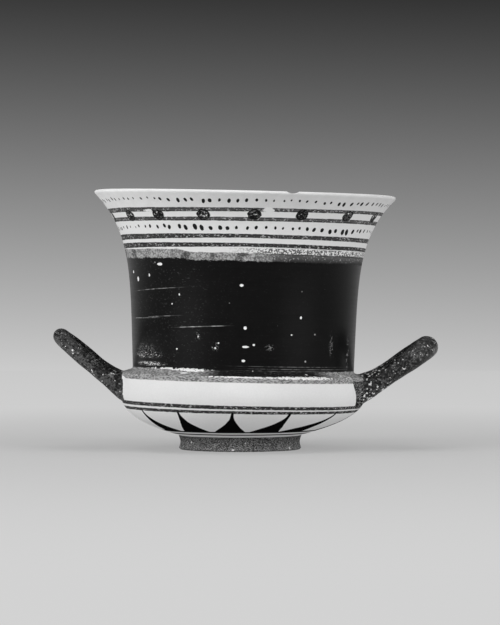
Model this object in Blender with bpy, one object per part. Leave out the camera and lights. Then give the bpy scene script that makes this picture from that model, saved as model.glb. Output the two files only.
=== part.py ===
"""Two-handled drinking cup of fired clay: a tall flaring wall over a low bowl, on a ring foot.

Metres, +Z up. The cup stands on its foot ring at Z = 0, with X through the two handles and the
front at -Y. The body is wheel-thrown, so one outline turned about an axis gives its outside, its
inside and the middle of its wall. Two loop handles are luted to the shoulder. The fired cup has
settled a little: the body tilts and leans to the right over a level foot, and the rim dips at
the front.
"""

import math

import bmesh
import bpy
from mathutils import Vector

# Ring foot
FOOT_RADIUS = 0.0293
FOOT_HEIGHT = 0.0063
FOOT_WAIST = 0.0007  # how far the foot's side draws in at half its height
FOOT_EDGE = 0.0007  # small slope round the bottom, inside and out
RING_WIDTH = 0.0052  # from the foot's side to the recess under it
SEAM_STEP = 0.0006  # upright step where the bowl rises from the foot

# Lower bowl, shoulder and ledge
NECK_RADIUS = 0.0530  # outside of the wall where it meets the ledge
SHOULDER_STEP = 0.0064  # how far the shoulder stands out past the wall
BOWL_RISE = 0.0231  # from the seam up to where the bowl's side stands upright
BOWL_SLOPE = math.radians(15.5)  # of the bowl where it leaves the foot
BOWL_SPREAD = 0.72  # share of the bowl's width over which it keeps near that slope
BOWL_TURN = 0.50  # share of the bowl's rise over which it turns upright
SHOULDER_BAND = 0.0056  # upright band above the bowl
LEDGE_RISE = 0.0020  # the ledge climbs this far to the wall
EDGE_ROUND = 0.0011  # rounding of the shoulder's edge, and of the corner at the wall

# Flaring wall and lip
WALL_RISE = 0.0837  # from the ledge to the start of the lip's rounding
WALL_BATTER = 0.0029  # even widening over the wall's height
LIP_FLARE = 0.0160  # further widening, gathered near the lip
FLARE_POWER = 4.9

# Thickness of the clay
BODY_WALL = 0.0034
LIP_WALL = 0.0020
FLOOR_WALL = 0.0048
FLOOR_DISH = 0.0019  # how far the floor inside sinks at its middle

# Handles: each loop leaves the shoulder at a slant, with two arms and a round end
HANDLE_HALF_SPAN = 0.0160  # from the loop's middle to the middle of an arm
HANDLE_PINCH = 0.0025  # how much closer the arms stand at the shoulder
ROOT_LENGTH = 0.0145  # an arm swells towards the shoulder over this length
ROOT_SPREAD = 0.0016  # how much wider the root is than the arm, on each side
LEFT_HEIGHT = 0.0293  # of the arms' middle line at the shoulder
LEFT_CANT = math.radians(38.9)
LEFT_REACH = 0.0361  # from the shoulder to the middle line's far end
LEFT_ARM_RADIUS = 0.0039
LEFT_END_RADIUS = 0.0039  # of the clay at the loop's far end
LEFT_ROOT_GAIN = 0.0019  # how much deeper the root is than the arm, above and below
LEFT_ROOT_LIFT = 0.0015  # how far the root rides up onto the ledge
RIGHT_HEIGHT = 0.0308
RIGHT_CANT = math.radians(35.1)
RIGHT_REACH = 0.0350
RIGHT_ARM_RADIUS = 0.0041
RIGHT_END_RADIUS = 0.0053
RIGHT_ROOT_GAIN = 0.0021
RIGHT_ROOT_LIFT = 0.0011

# How the fired cup has settled over its level foot, and the chip in its rim
TILT = math.radians(1.3)  # of the shoulder and of all above it, down to the right
LEAN = math.radians(0.6)  # of the axis to the right
SIDESTEP = 0.0012  # how far the shoulder sits off the foot's middle, to the right
RIM_DIP = 0.0020
RIM_DIP_POWER = 6.0
CHIP_LENGTH = 0.0064
CHIP_DEPTH = 0.0011
CHIP_BEARING = math.radians(17.8)  # from the front, towards +X

# Fineness of the mesh
TURN_STEPS = 60
BOWL_STEPS = 9
WALL_STEPS = 11
LIP_STEPS = 4
FLOOR_STEPS = 4
ARM_SIDES = 12
ARM_STEPS = 7
BEND_STEPS = 12
CHIP_SIDES = 16
SHARP_ANGLE = math.radians(35)

# Places that follow from the sizes above
SEAM_HEIGHT = FOOT_HEIGHT + SEAM_STEP
BOWL_TOP = SEAM_HEIGHT + BOWL_RISE
SHOULDER_RADIUS = NECK_RADIUS + SHOULDER_STEP
LEDGE_FOOT = BOWL_TOP + SHOULDER_BAND
LEDGE_TOP = LEDGE_FOOT + LEDGE_RISE


def point(radius, height):
    """A point of an outline: X is the distance from the cup's axis, and Y is the height."""
    return Vector((radius, height))


def inward(direction):
    """The unit normal into the clay from an outline that runs upwards on the outside."""
    return Vector((-direction.y, direction.x)).normalized()


def bowl_curve(share):
    """The bowl's outer curve from the seam to the shoulder: a place on it, and its direction."""
    start = point(FOOT_RADIUS, SEAM_HEIGHT)
    end = point(SHOULDER_RADIUS, BOWL_TOP)
    width = end.x - start.x
    low = start + width * BOWL_SPREAD * Vector((1.0, math.tan(BOWL_SLOPE)))
    high = end - point(0.0, BOWL_RISE * BOWL_TURN)
    left = 1.0 - share
    place = left**3 * start + 3 * left**2 * share * low + 3 * left * share**2 * high + share**3 * end
    heading = left**2 * (low - start) + 2 * left * share * (high - low) + share**2 * (end - high)
    return place, heading


def wall_curve(share):
    """The wall's outer curve from the ledge to the lip: a place on it, and its direction."""
    radius = NECK_RADIUS + WALL_BATTER * share + LIP_FLARE * share**FLARE_POWER
    widening = WALL_BATTER + LIP_FLARE * FLARE_POWER * share ** (FLARE_POWER - 1.0)
    return point(radius, LEDGE_TOP + WALL_RISE * share), point(widening, WALL_RISE)


def wall_thickness(share):
    return BODY_WALL + (LIP_WALL - BODY_WALL) * share


def rounded(before, corner, after, radius, steps=2):
    """The corner between two straight runs, cut back evenly and bridged by a curve."""
    back = min(radius, 0.45 * (corner - before).length, 0.45 * (after - corner).length)
    start = corner + (before - corner).normalized() * back
    end = corner + (after - corner).normalized() * back
    curve = []
    for step in range(steps + 1):
        share = step / steps
        curve.append((1 - share) ** 2 * start + 2 * (1 - share) * share * corner + share**2 * end)
    return curve


def body_outline(depth):
    """The body's outline from the seam up to the lip, at a depth in the clay.

    Depth 0 is the outside, 1 is the inside, and 0.5 is halfway through.
    """
    inset = BODY_WALL * depth
    outline = []
    for step in range(BOWL_STEPS + 1):
        place, heading = bowl_curve(step / BOWL_STEPS)
        outline.append(place + inward(heading) * inset)
    edge = point(SHOULDER_RADIUS, LEDGE_FOOT)
    neck = point(NECK_RADIUS, LEDGE_TOP)
    along = (neck - edge).normalized()
    on_ledge = edge + inward(along) * inset
    side, throat = SHOULDER_RADIUS - inset, NECK_RADIUS - inset
    corner = on_ledge + along * ((side - on_ledge.x) / along.x)
    hollow = on_ledge + along * ((throat - on_ledge.x) / along.x)
    outline += rounded(outline[-1], corner, hollow, EDGE_ROUND)
    wall = []
    for step in range(1, WALL_STEPS + 1):
        share = 1.0 - (1.0 - step / WALL_STEPS) ** 1.5
        place, heading = wall_curve(share)
        wall.append(place + inward(heading) * wall_thickness(share) * depth)
    outline += rounded(corner, hollow, wall[0], EDGE_ROUND)
    return outline + wall


def lip_outline():
    """The lip's round edge, from the outside of the wall over to the inside."""
    place, heading = wall_curve(1.0)
    half = LIP_WALL / 2
    middle = place + inward(heading) * half
    start = math.atan2(-inward(heading).y, -inward(heading).x)
    curve = []
    for step in range(1, LIP_STEPS):
        angle = start + math.pi * step / LIP_STEPS
        curve.append(middle + half * Vector((math.cos(angle), math.sin(angle))))
    return curve


def floor_outline():
    """The floor inside, from the foot of the inner bowl in to the axis, where it lies flat."""
    place, heading = bowl_curve(0.0)
    rim = place + inward(heading) * BODY_WALL
    floor = rim.y - FLOOR_DISH
    bend = point(rim.x - FLOOR_DISH * heading.x / heading.y, floor)
    curve = []
    for step in range(1, FLOOR_STEPS + 1):
        share = step / FLOOR_STEPS
        middle = point(0.0, floor)
        curve.append((1 - share) ** 2 * rim + 2 * (1 - share) * share * bend + share**2 * middle)
    return curve


def foot_outline():
    """The foot, from the axis under the floor out over the ring and up to the seam."""
    ceiling = floor_outline()[-1].y - FLOOR_WALL
    inside = FOOT_RADIUS - RING_WIDTH
    return [
        point(0.0, ceiling),
        point(inside - 2 * FOOT_EDGE, ceiling),
        point(inside - FOOT_EDGE, ceiling - FOOT_EDGE),
        point(inside, FOOT_EDGE),
        point(inside + FOOT_EDGE, 0.0),
        point(FOOT_RADIUS - FOOT_EDGE, 0.0),
        point(FOOT_RADIUS, FOOT_EDGE),
        point(FOOT_RADIUS - FOOT_WAIST, FOOT_HEIGHT / 2),
        point(FOOT_RADIUS, FOOT_HEIGHT),
    ]


def settled(place):
    """Where a point of the true, upright cup lies on the fired one."""
    x, y, z = place
    rise = max(0.0, z - FOOT_HEIGHT)
    given = min(1.0, rise / (BOWL_TOP - FOOT_HEIGHT))
    given = given * given * (3.0 - 2.0 * given)
    share = max(0.0, (z - LEDGE_TOP) / WALL_RISE)
    frontness = (1.0 - math.sin(math.atan2(y, x))) / 2
    dip = RIM_DIP * share**RIM_DIP_POWER * frontness**2
    aside = SIDESTEP * given + math.tan(LEAN) * rise
    return Vector((x + aside, y, z - dip - math.tan(TILT) * given * x))


def new_object(name, mesh, material):
    mesh.shade_smooth()
    mesh.set_sharp_from_angle(angle=SHARP_ANGLE)
    mesh.materials.append(material)
    made = bpy.data.objects.new(name, mesh)
    bpy.context.scene.collection.objects.link(made)
    return made


def turned(name, outline, material):
    """The solid that an outline makes when it turns about the axis, settled like the cup."""
    form = bmesh.new()
    rings = []
    for radius, height in outline:
        if radius == 0.0:
            rings.append([form.verts.new(settled((0.0, 0.0, height)))])
            continue
        ring = []
        for step in range(TURN_STEPS):
            angle = math.tau * step / TURN_STEPS
            ring.append(form.verts.new(settled((radius * math.cos(angle), radius * math.sin(angle), height))))
        rings.append(ring)
    for lower, upper in zip(rings, rings[1:]):
        for step in range(TURN_STEPS):
            ahead = (step + 1) % TURN_STEPS
            if len(lower) == 1:
                form.faces.new((lower[0], upper[ahead], upper[step]))
            elif len(upper) == 1:
                form.faces.new((lower[step], lower[ahead], upper[0]))
            else:
                form.faces.new((lower[step], lower[ahead], upper[ahead], upper[step]))
    mesh = bpy.data.meshes.new(name)
    form.to_mesh(mesh)
    form.free()
    return new_object(name, mesh, material)


def loop_path(reach):
    """A handle's middle line in its own plane: X away from the shoulder, Y across.

    It runs from inside the wall along one arm, round the end and back along the other.
    """
    straight = reach - HANDLE_HALF_SPAN
    arm = [Vector((-2 * BODY_WALL, HANDLE_HALF_SPAN - HANDLE_PINCH))]
    for step in range(ARM_STEPS):
        share = step / ARM_STEPS
        arm.append(Vector((straight * share, HANDLE_HALF_SPAN - HANDLE_PINCH * (1 - share) ** 2)))
    bend = []
    for step in range(BEND_STEPS + 1):
        angle = math.pi / 2 - math.pi * step / BEND_STEPS
        bend.append(Vector((straight, 0.0)) + HANDLE_HALF_SPAN * Vector((math.cos(angle), math.sin(angle))))
    back = [Vector((place.x, -place.y)) for place in reversed(arm)]
    return arm + bend + back


def handle(name, side, height, cant, reach, arm_radius, end_radius, root_gain, root_lift, material):
    """One loop handle: a round arm swept along its path. Side is 1 for +X and -1 for -X."""
    root = Vector((side * SHOULDER_RADIUS, 0.0, height))
    away = Vector((side * math.cos(cant), 0.0, math.sin(cant)))
    across = Vector((0.0, side, 0.0))
    lift = away.cross(across)
    path = loop_path(reach)
    form = bmesh.new()
    rings = []
    for index, place in enumerate(path):
        heading = (path[min(index + 1, len(path) - 1)] - path[max(index - 1, 0)]).normalized()
        beside = away * -heading.y + across * heading.x
        out = max(place.x, 0.0)
        radius = arm_radius + (end_radius - arm_radius) * out / reach
        swell = max(0.0, 1.0 - out / ROOT_LENGTH) ** 2
        wide = beside * (radius + ROOT_SPREAD * swell)
        deep = lift * (radius + root_gain * swell)
        middle = root + away * place.x + across * place.y + lift * root_lift * swell
        ring = []
        for step in range(ARM_SIDES):
            angle = math.tau * step / ARM_SIDES
            ring.append(form.verts.new(settled(middle + wide * math.cos(angle) + deep * math.sin(angle))))
        rings.append(ring)
    for near, far in zip(rings, rings[1:]):
        for step in range(ARM_SIDES):
            ahead = (step + 1) % ARM_SIDES
            form.faces.new((near[step], near[ahead], far[ahead], far[step]))
    form.faces.new(reversed(rings[0]))
    form.faces.new(rings[-1])
    bmesh.ops.recalc_face_normals(form, faces=form.faces)
    mesh = bpy.data.meshes.new(name)
    form.to_mesh(mesh)
    form.free()
    return new_object(name, mesh, material)


def chip_cutter(material):
    """A ball that bites the chip out of the rim."""
    place, heading = wall_curve(1.0)
    crest = place + inward(heading) * LIP_WALL / 2 + point(0.0, LIP_WALL / 2)
    bearing = CHIP_BEARING - math.pi / 2
    top = settled((crest.x * math.cos(bearing), crest.x * math.sin(bearing), crest.y))
    radius = CHIP_LENGTH**2 / (8 * CHIP_DEPTH) + CHIP_DEPTH / 2
    form = bmesh.new()
    bmesh.ops.create_uvsphere(form, u_segments=CHIP_SIDES, v_segments=CHIP_SIDES // 2, radius=radius)
    bmesh.ops.translate(form, verts=form.verts, vec=top + Vector((0.0, 0.0, radius - CHIP_DEPTH)))
    mesh = bpy.data.meshes.new("chip_cutter")
    form.to_mesh(mesh)
    form.free()
    return new_object("chip_cutter", mesh, material)


def combine(target, other, operation):
    """Adds or takes away another object's form, and leaves that object as a guide."""
    change = target.modifiers.new(other.name, "BOOLEAN")
    change.operation = operation
    change.solver = "EXACT"
    change.object = other
    other.hide_render = True
    other.display_type = "WIRE"


def fired_clay():
    """Black gloss over pale slip, as one plain finish."""
    material = bpy.data.materials.new("painted_fired_clay")
    material.use_nodes = True
    shader = material.node_tree.nodes["Principled BSDF"]
    shader.inputs["Base Color"].default_value = (0.17, 0.165, 0.16, 1.0)
    shader.inputs["Roughness"].default_value = 0.45
    shader.inputs["Metallic"].default_value = 0.0
    return material


def middle_of(objects):
    """Halfway between the lowest and highest X of some objects."""
    reach = [vertex.co.x for made in objects for vertex in made.data.vertices]
    return (min(reach) + max(reach)) / 2


def build():
    for old in list(bpy.data.objects):
        bpy.data.objects.remove(old)
    clay = fired_clay()
    outside = foot_outline() + body_outline(0.0)
    inside = list(reversed(body_outline(1.0))) + floor_outline()
    cup = turned("cup", outside + lip_outline() + inside, clay)
    mid_wall = body_outline(0.5)
    core_outline = [point(0.0, mid_wall[0].y)] + mid_wall + [point(0.0, mid_wall[-1].y)]
    core = turned("core_cutter", core_outline, clay)
    left = handle(
        "left_loop", -1, LEFT_HEIGHT, LEFT_CANT, LEFT_REACH, LEFT_ARM_RADIUS, LEFT_END_RADIUS,
        LEFT_ROOT_GAIN, LEFT_ROOT_LIFT, clay,
    )
    right = handle(
        "right_loop", 1, RIGHT_HEIGHT, RIGHT_CANT, RIGHT_REACH, RIGHT_ARM_RADIUS, RIGHT_END_RADIUS,
        RIGHT_ROOT_GAIN, RIGHT_ROOT_LIFT, clay,
    )
    for loop in (left, right):
        combine(loop, core, "DIFFERENCE")
        combine(cup, loop, "UNION")
    chip = chip_cutter(clay)
    combine(cup, chip, "DIFFERENCE")
    centre = middle_of((left, right))
    for made in (cup, core, left, right, chip):
        made.location.x = -centre


build()
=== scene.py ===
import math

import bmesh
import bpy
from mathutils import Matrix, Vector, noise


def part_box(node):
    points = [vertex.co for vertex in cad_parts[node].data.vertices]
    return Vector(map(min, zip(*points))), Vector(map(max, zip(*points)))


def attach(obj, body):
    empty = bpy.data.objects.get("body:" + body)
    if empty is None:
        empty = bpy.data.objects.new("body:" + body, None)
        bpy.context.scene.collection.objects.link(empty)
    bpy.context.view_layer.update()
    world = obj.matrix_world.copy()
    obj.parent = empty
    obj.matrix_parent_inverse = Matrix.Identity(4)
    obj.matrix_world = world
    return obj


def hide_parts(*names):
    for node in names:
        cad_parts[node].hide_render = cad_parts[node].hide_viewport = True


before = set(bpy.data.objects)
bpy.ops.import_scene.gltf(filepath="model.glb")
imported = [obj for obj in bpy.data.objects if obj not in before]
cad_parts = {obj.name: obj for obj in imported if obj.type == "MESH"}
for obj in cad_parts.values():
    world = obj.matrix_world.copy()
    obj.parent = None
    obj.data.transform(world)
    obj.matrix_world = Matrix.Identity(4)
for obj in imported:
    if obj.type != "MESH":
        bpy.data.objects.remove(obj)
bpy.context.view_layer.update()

# The cup as a viewer sees it: one thrown and fired body with its two loops, in pale slip under
# painted bands, dots, blotches and rays of black gloss, all of it chipped and rubbed. Shapes are
# in metres. Paint is laid out in wheel coordinates, which are millimetres on the true, upright
# pot before it leaned and sagged, so that every band runs round the body as the brush did.

MM = 0.001

# The body's sizes, the same as the solid cup's
FOOT_RADIUS = 0.0293
FOOT_HEIGHT = 0.0063
FOOT_WAIST = 0.0007
FOOT_EDGE = 0.0007
RING_WIDTH = 0.0052
SEAM_STEP = 0.0006
NECK_RADIUS = 0.0530
SHOULDER_STEP = 0.0064
BOWL_RISE = 0.0231
BOWL_SLOPE = math.radians(15.5)
BOWL_SPREAD = 0.72
BOWL_TURN = 0.50
SHOULDER_BAND = 0.0056
LEDGE_RISE = 0.0020
EDGE_ROUND = 0.0011
WALL_RISE = 0.0837
WALL_BATTER = 0.0029
LIP_FLARE = 0.0160
FLARE_POWER = 4.9
BODY_WALL = 0.0034
LIP_WALL = 0.0020
FLOOR_WALL = 0.0048
FLOOR_DISH = 0.0019
HANDLE_HALF_SPAN = 0.0160
HANDLE_PINCH = 0.0025
ROOT_LENGTH = 0.0145
ROOT_SPREAD = 0.0016
LEFT_HEIGHT = 0.0293
LEFT_CANT = math.radians(38.9)
LEFT_REACH = 0.0361
LEFT_ARM_RADIUS = 0.0039
LEFT_END_RADIUS = 0.0039
LEFT_ROOT_GAIN = 0.0019
LEFT_ROOT_LIFT = 0.0015
RIGHT_HEIGHT = 0.0308
RIGHT_CANT = math.radians(35.1)
RIGHT_REACH = 0.0350
RIGHT_ARM_RADIUS = 0.0041
RIGHT_END_RADIUS = 0.0053
RIGHT_ROOT_GAIN = 0.0021
RIGHT_ROOT_LIFT = 0.0011
TILT = math.radians(1.3)
LEAN = math.radians(0.6)
SIDESTEP = 0.0012
RIM_DIP = 0.0020
RIM_DIP_POWER = 6.0
CHIP_LENGTH = 0.0064
CHIP_DEPTH = 0.0011
CHIP_BEARING = math.radians(17.8)

SEAM_HEIGHT = FOOT_HEIGHT + SEAM_STEP
BOWL_TOP = SEAM_HEIGHT + BOWL_RISE
SHOULDER_RADIUS = NECK_RADIUS + SHOULDER_STEP
LEDGE_FOOT = BOWL_TOP + SHOULDER_BAND
LEDGE_TOP = LEDGE_FOOT + LEDGE_RISE

# Unevenness of the rolled loops and of the broken clay: how large, and swells to a metre
LOOP_UNEVENNESS = 0.18 * MM
LOOP_SWELLS = 160.0
BREAK_ROUGHNESS = 0.03
BREAK_SWELLS = 900.0

# Fineness of the mesh
TURN_STEPS = 216
FOOT_STEPS = 8
BOWL_STEPS = 26
WALL_STEPS = 64
LIP_STEPS = 8
FLOOR_STEPS = 12
CORNER_STEPS = 5
ARM_SIDES = 28
ARM_STEPS = 22
BEND_STEPS = 30
CORE_STEPS = 72
BALL_SEGMENTS = 64
BALL_RINGS = 40
UNDERSIDE_STRIPS = 8
LIP_CROWDING = 1.25  # above 1, the wall's rows lie closer together towards the lip
CORNER_SHARE = 0.45  # of its shorter neighbour, which a rounded corner takes at most
SHARP_ANGLE = math.radians(50)

# The fillet round the loops' roots: reach, rounds of smearing and how far each one pulls, the
# longest edge there, and the length under which an edge is dropped
FILLET_REACH = 0.0034
FILLET_ROUNDS = 24
FILLET_PULL = 0.6
FILLET_EDGE = 0.9 * MM
NO_LENGTH = 0.00002

# Materials by face, in the order of the mesh's slots
WALL, BOWL, INSIDE, LOOPS, UNDERSIDE = range(5)

# Photograph: camera distance, and the millimetres that one of its pixels covers at the cup's axis
PIXEL = 0.48 * MM
PHOTO_SIZE = (500, 625)
PHOTO_MIDDLE = (250.0, 312.5)
FOOT_ON_PHOTO = (240.1, 448.8)
CAMERA_DISTANCE = 1.248
SENSOR = 36.0


# Form

def point(radius, height):
    return Vector((radius, height))


def inward(direction):
    return Vector((-direction.y, direction.x)).normalized()


def bowl_curve(share):
    """The bowl's outer curve from the seam to the shoulder: a place on it, and its direction."""
    start = point(FOOT_RADIUS, SEAM_HEIGHT)
    end = point(SHOULDER_RADIUS, BOWL_TOP)
    width = end.x - start.x
    low = start + width * BOWL_SPREAD * Vector((1.0, math.tan(BOWL_SLOPE)))
    high = end - point(0.0, BOWL_RISE * BOWL_TURN)
    left = 1.0 - share
    place = left**3 * start + 3 * left**2 * share * low
    place = place + 3 * left * share**2 * high + share**3 * end
    heading = left**2 * (low - start) + 2 * left * share * (high - low) + share**2 * (end - high)
    return place, heading


def wall_curve(share):
    """The wall's outer curve from the ledge to the lip: a place on it, and its direction."""
    radius = NECK_RADIUS + WALL_BATTER * share + LIP_FLARE * share**FLARE_POWER
    widening = WALL_BATTER + LIP_FLARE * FLARE_POWER * share ** (FLARE_POWER - 1.0)
    return point(radius, LEDGE_TOP + WALL_RISE * share), point(widening, WALL_RISE)


def rounded(before, corner, after, radius):
    shorter = min((corner - before).length, (after - corner).length)
    back = min(radius, CORNER_SHARE * shorter)
    start = corner + (before - corner).normalized() * back
    end = corner + (after - corner).normalized() * back
    curve = []
    for step in range(CORNER_STEPS + 1):
        share = step / CORNER_STEPS
        curve.append((1 - share) ** 2 * start + 2 * (1 - share) * share * corner + share**2 * end)
    return curve


def body_outline(depth):
    """The outline from the seam up to the lip, at a depth in the clay: 0 outside and 1 inside."""
    inset = BODY_WALL * depth
    outline = []
    for step in range(BOWL_STEPS + 1):
        place, heading = bowl_curve(step / BOWL_STEPS)
        outline.append(place + inward(heading) * inset)
    edge = point(SHOULDER_RADIUS, LEDGE_FOOT)
    neck = point(NECK_RADIUS, LEDGE_TOP)
    along = (neck - edge).normalized()
    on_ledge = edge + inward(along) * inset
    corner = on_ledge + along * ((SHOULDER_RADIUS - inset - on_ledge.x) / along.x)
    hollow = on_ledge + along * ((NECK_RADIUS - inset - on_ledge.x) / along.x)
    outline += rounded(outline[-1], corner, hollow, EDGE_ROUND)
    wall = []
    for step in range(1, WALL_STEPS + 1):
        share = 1.0 - (1.0 - step / WALL_STEPS) ** LIP_CROWDING
        place, heading = wall_curve(share)
        thickness = BODY_WALL + (LIP_WALL - BODY_WALL) * share
        wall.append(place + inward(heading) * thickness * depth)
    outline += rounded(corner, hollow, wall[2], EDGE_ROUND)
    return outline + wall[1:]


def lip_outline():
    place, heading = wall_curve(1.0)
    middle = place + inward(heading) * LIP_WALL / 2
    start = math.atan2(-inward(heading).y, -inward(heading).x)
    curve = []
    for step in range(1, LIP_STEPS):
        angle = start + math.pi * step / LIP_STEPS
        curve.append(middle + LIP_WALL / 2 * Vector((math.cos(angle), math.sin(angle))))
    return curve


def floor_outline():
    place, heading = bowl_curve(0.0)
    rim = place + inward(heading) * BODY_WALL
    floor = rim.y - FLOOR_DISH
    bend = point(rim.x - FLOOR_DISH * heading.x / heading.y, floor)
    curve = []
    for step in range(1, FLOOR_STEPS + 1):
        share = step / FLOOR_STEPS
        middle = point(0.0, floor)
        curve.append((1 - share) ** 2 * rim + 2 * (1 - share) * share * bend + share**2 * middle)
    return curve


def foot_outline():
    """The foot, from the axis under the floor out over the ring and up to the seam."""
    ceiling = floor_outline()[-1].y - FLOOR_WALL
    inside = FOOT_RADIUS - RING_WIDTH
    under = [
        point(0.0, ceiling),
        point(inside / 3, ceiling),
        point(inside * 2 / 3, ceiling),
        point(inside - 2 * FOOT_EDGE, ceiling),
        point(inside - FOOT_EDGE, ceiling - FOOT_EDGE),
        point(inside, FOOT_EDGE),
        point(inside + FOOT_EDGE, 0.0),
        point((inside + FOOT_RADIUS) / 2, 0.0),
        point(FOOT_RADIUS - FOOT_EDGE, 0.0),
    ]
    side = []
    for step in range(FOOT_STEPS + 1):
        share = step / FOOT_STEPS
        height = FOOT_EDGE + (FOOT_HEIGHT - FOOT_EDGE) * share
        side.append(point(FOOT_RADIUS - FOOT_WAIST * math.sin(math.pi * share), height))
    return under + side


def settled(place):
    """Where a point of the true, upright cup lies on the fired one."""
    x, y, z = place
    rise = max(0.0, z - FOOT_HEIGHT)
    given = min(1.0, rise / (BOWL_TOP - FOOT_HEIGHT))
    given = given * given * (3.0 - 2.0 * given)
    share = max(0.0, (z - LEDGE_TOP) / WALL_RISE)
    frontness = (1.0 - math.sin(math.atan2(y, x))) / 2
    dip = RIM_DIP * share**RIM_DIP_POWER * frontness**2
    aside = SIDESTEP * given + math.tan(LEAN) * rise
    return Vector((x + aside, y, z - dip - math.tan(TILT) * given * x))


def unsettled(place):
    """The place on the true, upright cup that a point of the fired one came from."""
    guess = Vector(place)
    for _ in range(4):
        guess += Vector(place) - settled(guess)
    return guess


def new_piece(name, form):
    """Turns a form into a smooth-shaded object in the scene."""
    mesh = bpy.data.meshes.new(name)
    form.to_mesh(mesh)
    form.free()
    mesh.shade_smooth()
    made = bpy.data.objects.new(name, mesh)
    bpy.context.scene.collection.objects.link(made)
    return made


def turned(name, outline, steps, zones=None):
    """The solid that an outline makes when it turns about the axis. Zones give faces a slot."""
    form = bmesh.new()
    rings = []
    for radius, height in outline:
        if radius == 0.0:
            rings.append([form.verts.new(settled((0.0, 0.0, height)))])
            continue
        ring = []
        for step in range(steps):
            angle = math.tau * (step + 0.5) / steps
            place = (radius * math.cos(angle), radius * math.sin(angle), height)
            ring.append(form.verts.new(settled(place)))
        rings.append(ring)
    for index, (lower, upper) in enumerate(zip(rings, rings[1:])):
        for step in range(steps):
            ahead = (step + 1) % steps
            if len(lower) == 1:
                face = form.faces.new((lower[0], upper[ahead], upper[step]))
            elif len(upper) == 1:
                face = form.faces.new((lower[step], lower[ahead], upper[0]))
            else:
                face = form.faces.new((lower[step], lower[ahead], upper[ahead], upper[step]))
            if zones:
                face.material_index = zones[index]
    return new_piece(name, form)


def loop_path(reach):
    """A handle's middle line in its own plane: X away from the shoulder, Y across."""
    straight = reach - HANDLE_HALF_SPAN
    arm = [Vector((-2 * BODY_WALL, HANDLE_HALF_SPAN - HANDLE_PINCH))]
    for step in range(ARM_STEPS):
        share = step / ARM_STEPS
        arm.append(Vector((straight * share, HANDLE_HALF_SPAN - HANDLE_PINCH * (1 - share) ** 2)))
    bend = []
    for step in range(BEND_STEPS + 1):
        angle = math.pi / 2 - math.pi * step / BEND_STEPS
        spoke = Vector((math.cos(angle), math.sin(angle)))
        bend.append(Vector((straight, 0.0)) + HANDLE_HALF_SPAN * spoke)
    back = [Vector((place.x, -place.y)) for place in reversed(arm)]
    return arm + bend + back


def handle(name, side, height, cant, reach, arm_radius, end_radius, root_gain, root_lift):
    """One rolled loop: a round arm, a little uneven from the potter's fingers."""
    root = Vector((side * SHOULDER_RADIUS, 0.0, height))
    away = Vector((side * math.cos(cant), 0.0, math.sin(cant)))
    across = Vector((0.0, side, 0.0))
    lift = away.cross(across)
    path = loop_path(reach)
    form = bmesh.new()
    rings = []
    for index, place in enumerate(path):
        heading = (path[min(index + 1, len(path) - 1)] - path[max(index - 1, 0)]).normalized()
        beside = away * -heading.y + across * heading.x
        out = max(place.x, 0.0)
        radius = arm_radius + (end_radius - arm_radius) * out / reach
        swell = max(0.0, 1.0 - out / ROOT_LENGTH) ** 2
        wide = beside * (radius + ROOT_SPREAD * swell)
        deep = lift * (radius + root_gain * swell)
        middle = root + away * place.x + across * place.y + lift * root_lift * swell
        ring = []
        for step in range(ARM_SIDES):
            angle = math.tau * step / ARM_SIDES
            spoke = wide * math.cos(angle) + deep * math.sin(angle)
            uneven = LOOP_UNEVENNESS * (noise.noise((middle + spoke) * LOOP_SWELLS) - 0.3)
            ring.append(form.verts.new(settled(middle + spoke + spoke.normalized() * uneven)))
        rings.append(ring)
    for near, far in zip(rings, rings[1:]):
        for step in range(ARM_SIDES):
            ahead = (step + 1) % ARM_SIDES
            form.faces.new((near[step], near[ahead], far[ahead], far[step]))
    form.faces.new(reversed(rings[0]))
    form.faces.new(rings[-1])
    for face in form.faces:
        face.material_index = LOOPS
    bmesh.ops.recalc_face_normals(form, faces=form.faces)
    return new_piece(name, form)


def chip_cutter():
    """A ball that bites the chip out of the rim, roughened like broken clay."""
    place, heading = wall_curve(1.0)
    crest = place + inward(heading) * LIP_WALL / 2 + point(0.0, LIP_WALL / 2)
    bearing = CHIP_BEARING - math.pi / 2
    top = settled((crest.x * math.cos(bearing), crest.x * math.sin(bearing), crest.y))
    radius = CHIP_LENGTH**2 / (8 * CHIP_DEPTH) + CHIP_DEPTH / 2
    form = bmesh.new()
    bmesh.ops.create_uvsphere(
        form, u_segments=BALL_SEGMENTS, v_segments=BALL_RINGS, radius=radius)
    for vertex in form.verts:
        vertex.co *= 1.0 + BREAK_ROUGHNESS * noise.noise(vertex.co * BREAK_SWELLS)
    bmesh.ops.translate(form, verts=form.verts, vec=top + Vector((0.0, 0.0, radius - CHIP_DEPTH)))
    return new_piece("chip_cutter", form)


def combine(target, other, operation):
    change = target.modifiers.new(other.name, "BOOLEAN")
    change.operation = operation
    change.solver = "EXACT"
    change.object = other


def near_join(form):
    """Each vertex close to where a loop meets the body, with its distance from that line."""
    join = [v for v in form.verts if len({f.material_index == LOOPS for f in v.link_faces}) == 2]
    reached = {vertex: 0.0 for vertex in join}
    edge_of_search = list(join)
    while edge_of_search:
        following = []
        for vertex in edge_of_search:
            for edge in vertex.link_edges:
                other = edge.other_vert(vertex)
                far = reached[vertex] + edge.calc_length()
                if far < FILLET_REACH and far < reached.get(other, 1.0):
                    reached[other] = far
                    following.append(other)
        edge_of_search = following
    return reached


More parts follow.
